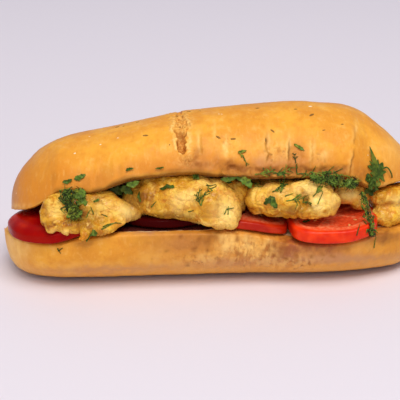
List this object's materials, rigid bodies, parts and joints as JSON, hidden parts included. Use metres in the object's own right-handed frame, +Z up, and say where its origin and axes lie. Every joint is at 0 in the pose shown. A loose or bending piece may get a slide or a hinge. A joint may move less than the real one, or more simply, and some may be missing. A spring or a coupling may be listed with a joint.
{
  "type": "shrimp sandwich",
  "caption": "Long soft roll cut through and laid open at the front, filled with tomato slices and whole battered shrimps strewn with dill and parsley.",
  "frame": {"origin": "on the table under the middle of the whole", "axes": "+X along the roll, +Z up, the open mouth faces -Y"},
  "size_m": [0.215, 0.0926, 0.0839],
  "materials": {
    "crust": "soft baked crust",
    "tomato": "wet",
    "batter": "fried egg batter, slightly oily",
    "herb": "fresh leaf"
  },
  "bodies": {
    "root": {"bun_bottom": "crust", "bun_top": "crust", "tomato_left": "tomato", "tomato_inner": "tomato", "tomato_middle": "tomato", "tomato_right": "tomato", "shrimp_1": "batter", "shrimp_2": "batter", "shrimp_3": "batter", "shrimp_4": "batter", "shrimp_back": "batter", "dill_clump": "herb", "herb_tangle": "herb", "parsley_hanging": "herb", "parsley_leaf": "herb"}
  },
  "joints": []
}
